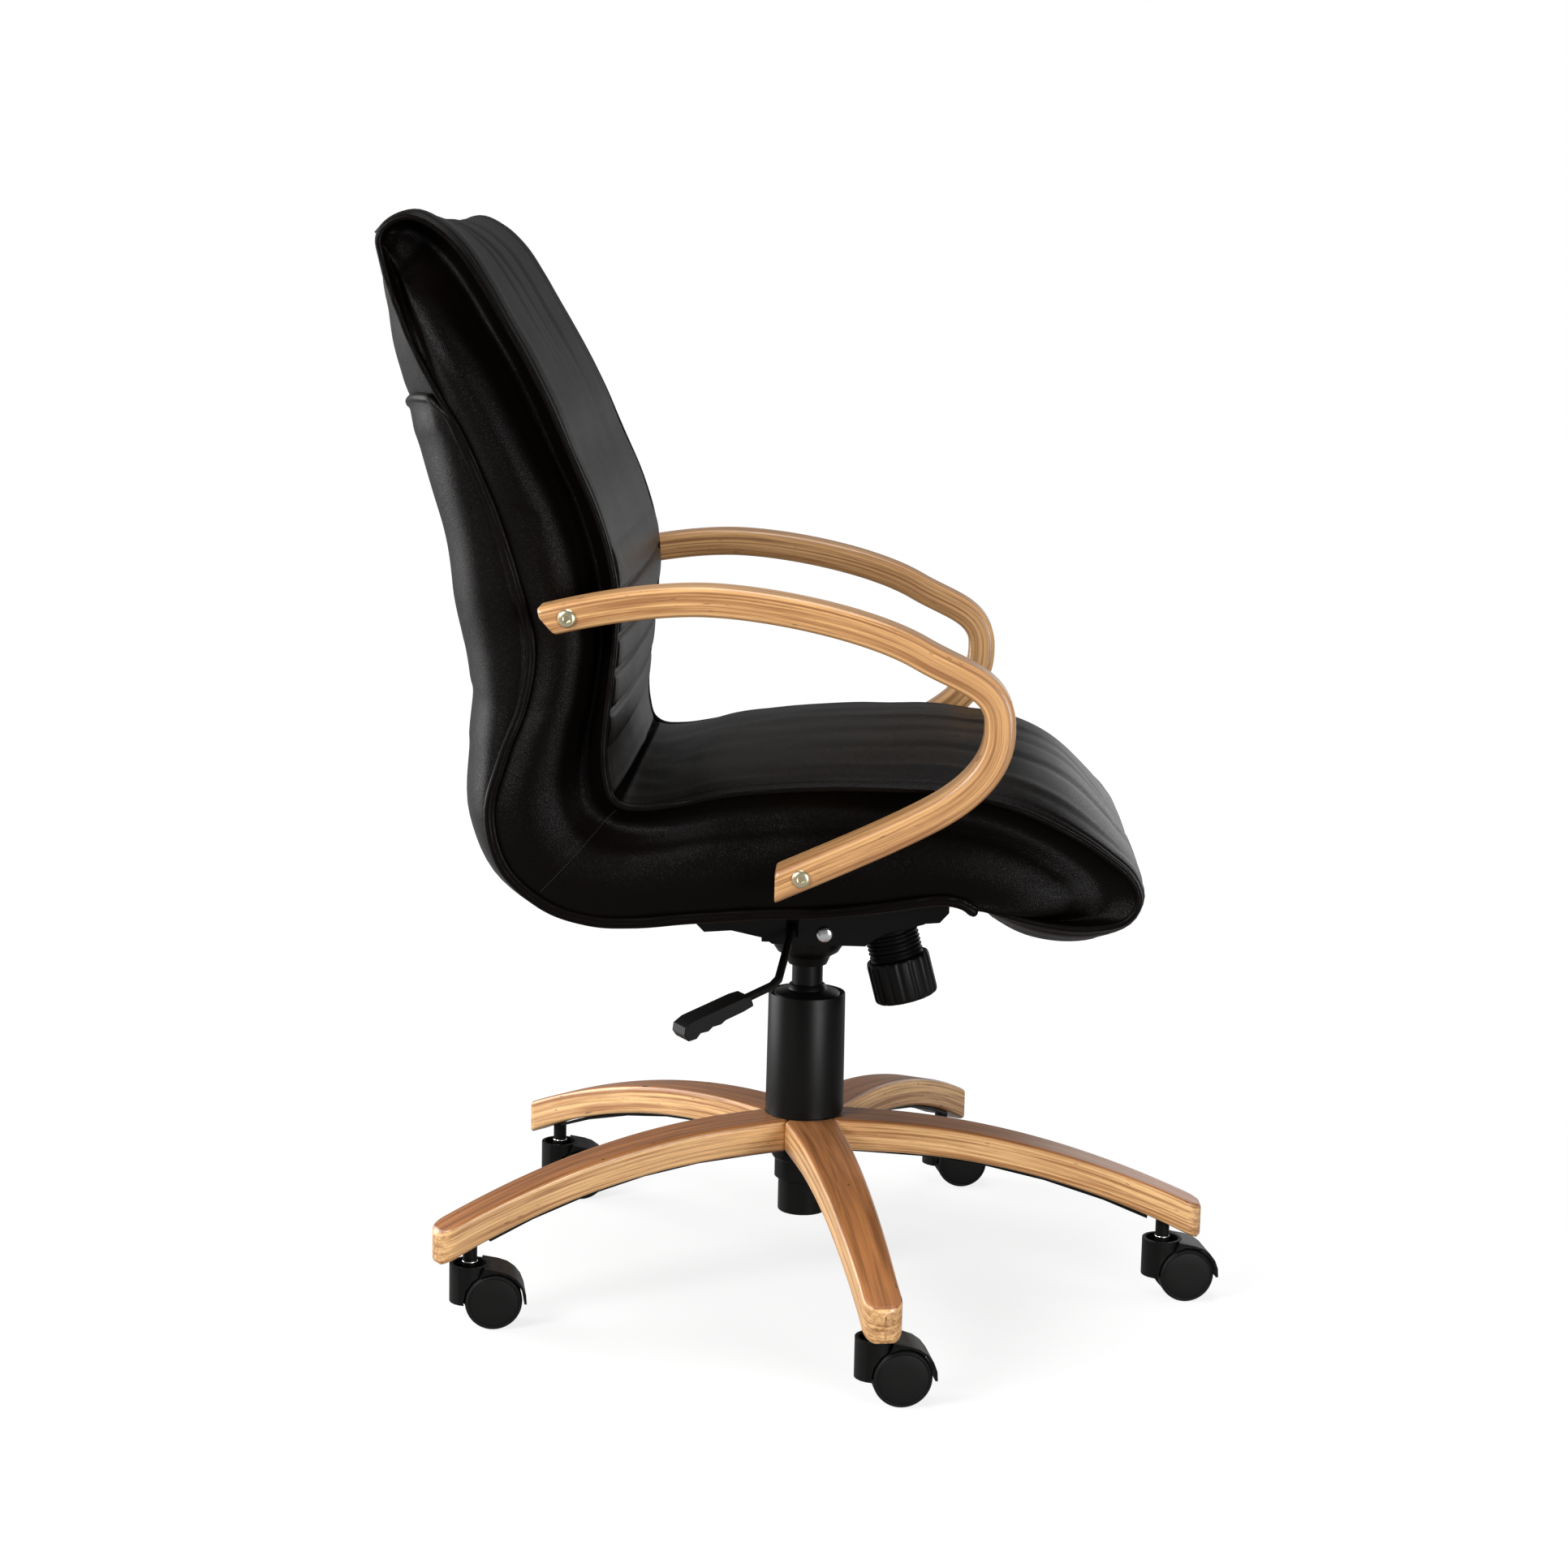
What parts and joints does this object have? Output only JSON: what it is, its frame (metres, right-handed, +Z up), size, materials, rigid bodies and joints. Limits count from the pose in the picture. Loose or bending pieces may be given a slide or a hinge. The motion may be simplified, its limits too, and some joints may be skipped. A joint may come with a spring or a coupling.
{
  "type": "executive office chair",
  "caption": "Height-adjustable swivel chair with black leather seat and high back, bentwood loop arms, a tilt mechanism and a laminated wood star base on twin-wheel casters.",
  "frame": {"origin": "on the floor under the seat's swivel axis", "axes": "+Z up, the sitter faces -Y, +X is the sitter's left"},
  "size_m": [0.6909, 0.749, 0.9543],
  "materials": {
    "black_leather": "satin",
    "leg_wood": "satin",
    "arm_wood": "satin",
    "shell_plywood": "matte",
    "zinc_steel": "gloss",
    "bright_steel": "gloss",
    "black_steel": "satin",
    "black_plastic": "satin"
  },
  "bodies": {
    "base": {"base_hub": "black_steel", "leg_1": "leg_wood", "leg_2": "leg_wood", "leg_3": "leg_wood", "leg_4": "leg_wood", "leg_5": "leg_wood", "column_tube": "black_steel", "column_clip": "bright_steel", "piston_rod": "bright_steel", "column_cover_lower": "black_plastic", "caster_stem_1": "bright_steel", "caster_stem_2": "bright_steel", "caster_stem_3": "bright_steel", "caster_stem_4": "bright_steel", "caster_stem_5": "bright_steel"},
    "cover_middle": {"column_cover_middle": "black_plastic"},
    "lift": {"gas_cylinder": "black_steel", "column_cover_upper": "black_plastic"},
    "valve": {"valve_button": "bright_steel"},
    "mechanism": {"tilt_housing": "black_steel", "pivot_pin": "zinc_steel", "spring_sleeve": "black_plastic", "tension_spring": "black_steel"},
    "lever_hinge": {"lever_bushing": "black_plastic"},
    "lever": {"lever_rod": "black_steel", "lever_paddle": "black_plastic"},
    "draw_bolt": {"tension_bolt": "bright_steel"},
    "spring_seat": {"spring_washer": "bright_steel"},
    "knob": {"tension_knob": "black_plastic"},
    "seat": {"seat_plate": "black_steel", "plate_screw_front_left": "zinc_steel", "plate_screw_front_right": "zinc_steel", "plate_screw_rear_left": "zinc_steel", "plate_screw_rear_right": "zinc_steel", "inner_shell": "shell_plywood", "side_rail_left": "black_steel", "side_rail_right": "black_steel", "seat_back_pad": "black_leather", "outer_cover": "black_leather", "arm_left": "arm_wood", "arm_right": "arm_wood", "arm_screw_front_left": "zinc_steel", "arm_screw_front_right": "zinc_steel", "arm_screw_rear_left": "zinc_steel", "arm_screw_rear_right": "zinc_steel"},
    "caster_1": {"caster_hood_1": "black_plastic"},
    "wheel_1_left": {"caster_wheel_1_left": "black_plastic"},
    "wheel_1_right": {"caster_wheel_1_right": "black_plastic"},
    "caster_2": {"caster_hood_2": "black_plastic"},
    "wheel_2_left": {"caster_wheel_2_left": "black_plastic"},
    "wheel_2_right": {"caster_wheel_2_right": "black_plastic"},
    "caster_3": {"caster_hood_3": "black_plastic"},
    "wheel_3_left": {"caster_wheel_3_left": "black_plastic"},
    "wheel_3_right": {"caster_wheel_3_right": "black_plastic"},
    "caster_4": {"caster_hood_4": "black_plastic"},
    "wheel_4_left": {"caster_wheel_4_left": "black_plastic"},
    "wheel_4_right": {"caster_wheel_4_right": "black_plastic"},
    "caster_5": {"caster_hood_5": "black_plastic"},
    "wheel_5_left": {"caster_wheel_5_left": "black_plastic"},
    "wheel_5_right": {"caster_wheel_5_right": "black_plastic"}
  },
  "joints": [
    {"name": "lift_slide", "type": "slide", "parent": "base", "child": "lift", "axis": [0, 0, 1], "range_m": [0, 0.11]},
    {"name": "cover_slide", "type": "slide", "parent": "base", "child": "cover_middle", "axis": [0, 0, 1], "range_m": [0, 0.0551]},
    {"name": "valve_press", "type": "slide", "parent": "lift", "child": "valve", "axis": [0, 0, -1], "range_m": [0, 0.00241]},
    {"name": "seat_swivel", "type": "hinge", "parent": "lift", "child": "mechanism", "pos_m": [0, 0, 0.2941], "axis": [0, 0, 1], "continuous": true},
    {"name": "seat_tilt", "type": "hinge", "parent": "mechanism", "child": "seat", "pos_m": [0, -0.016, 0.3403], "axis": [-1, 0, 0], "range_deg": [0, 12], "stiffness_Nm_per_rad": 60, "springref_deg": -51.57},
    {"name": "lever_lift", "type": "hinge", "parent": "mechanism", "child": "lever_hinge", "pos_m": [0, 0.013, 0.3423], "axis": [1, 0, 0], "range_deg": [0, 8], "stiffness_Nm_per_rad": 0.4, "springref_deg": -20.05},
    {"name": "lever_pull", "type": "slide", "parent": "lever_hinge", "child": "lever", "axis": [-1, 0, 0], "range_m": [0, 0.008]},
    {"name": "draw_bolt_slide", "type": "slide", "parent": "mechanism", "child": "draw_bolt", "axis": [0, 0.2588, 0.9659], "range_m": [0, 0.0112], "deforming": ["tension_spring"]},
    {"name": "tension_travel", "type": "slide", "parent": "draw_bolt", "child": "spring_seat", "axis": [0, 0.2588, 0.9659], "range_m": [-0.00402, 0.00402], "deforming": ["tension_spring"]},
    {"name": "tension_turn", "type": "hinge", "parent": "spring_seat", "child": "knob", "pos_m": [0, -0.081, 0.3028], "axis": [0, 0.2588, 0.9659], "range_deg": [-720, 720]},
    {"name": "caster_swivel_1", "type": "hinge", "parent": "base", "child": "caster_1", "pos_m": [-0.03278, -0.32837, 0.05], "axis": [0, 0, 1], "continuous": true},
    {"name": "wheel_spin_1_left", "type": "hinge", "parent": "caster_1", "child": "wheel_1_left", "pos_m": [-0.0293, -0.34806, 0.025], "axis": [0.9848, 0.1736, 0], "continuous": true},
    {"name": "wheel_spin_1_right", "type": "hinge", "parent": "caster_1", "child": "wheel_1_right", "pos_m": [-0.0293, -0.34806, 0.025], "axis": [0.9848, 0.1736, 0], "continuous": true},
    {"name": "caster_swivel_2", "type": "hinge", "parent": "base", "child": "caster_2", "pos_m": [-0.32243, -0.0703, 0.05], "axis": [0, 0, 1], "continuous": true},
    {"name": "wheel_spin_2_left", "type": "hinge", "parent": "caster_2", "child": "wheel_2_left", "pos_m": [-0.31895, -0.09, 0.025], "axis": [0.9848, 0.1736, 0], "continuous": true},
    {"name": "wheel_spin_2_right", "type": "hinge", "parent": "caster_2", "child": "wheel_2_right", "pos_m": [-0.31895, -0.09, 0.025], "axis": [0.9848, 0.1736, 0], "continuous": true},
    {"name": "caster_swivel_3", "type": "hinge", "parent": "base", "child": "caster_3", "pos_m": [-0.16649, 0.28492, 0.05], "axis": [0, 0, 1], "continuous": true},
    {"name": "wheel_spin_3_left", "type": "hinge", "parent": "caster_3", "child": "wheel_3_left", "pos_m": [-0.16302, 0.26522, 0.025], "axis": [0.9848, 0.1736, 0], "continuous": true},
    {"name": "wheel_spin_3_right", "type": "hinge", "parent": "caster_3", "child": "wheel_3_right", "pos_m": [-0.16302, 0.26522, 0.025], "axis": [0.9848, 0.1736, 0], "continuous": true},
    {"name": "caster_swivel_4", "type": "hinge", "parent": "base", "child": "caster_4", "pos_m": [0.21953, 0.24639, 0.05], "axis": [0, 0, 1], "continuous": true},
    {"name": "wheel_spin_4_left", "type": "hinge", "parent": "caster_4", "child": "wheel_4_left", "pos_m": [0.223, 0.22669, 0.025], "axis": [0.9848, 0.1736, 0], "continuous": true},
    {"name": "wheel_spin_4_right", "type": "hinge", "parent": "caster_4", "child": "wheel_4_right", "pos_m": [0.223, 0.22669, 0.025], "axis": [0.9848, 0.1736, 0], "continuous": true},
    {"name": "caster_swivel_5", "type": "hinge", "parent": "base", "child": "caster_5", "pos_m": [0.30217, -0.13264, 0.05], "axis": [0, 0, 1], "continuous": true},
    {"name": "wheel_spin_5_left", "type": "hinge", "parent": "caster_5", "child": "wheel_5_left", "pos_m": [0.30564, -0.15234, 0.025], "axis": [0.9848, 0.1736, 0], "continuous": true},
    {"name": "wheel_spin_5_right", "type": "hinge", "parent": "caster_5", "child": "wheel_5_right", "pos_m": [0.30564, -0.15234, 0.025], "axis": [0.9848, 0.1736, 0], "continuous": true}
  ],
  "couplings": [
    {"joint": "cover_slide", "follows": "lift_slide", "ratio": 0.5},
    {"joint": "valve_press", "follows": "lever_lift", "m_per_rad": 0.0172},
    {"joint": "draw_bolt_slide", "follows": "seat_tilt", "m_per_rad": 0.05308},
    {"joint": "tension_travel", "follows": "tension_turn", "m_per_rad": 0.00031831}
  ]
}
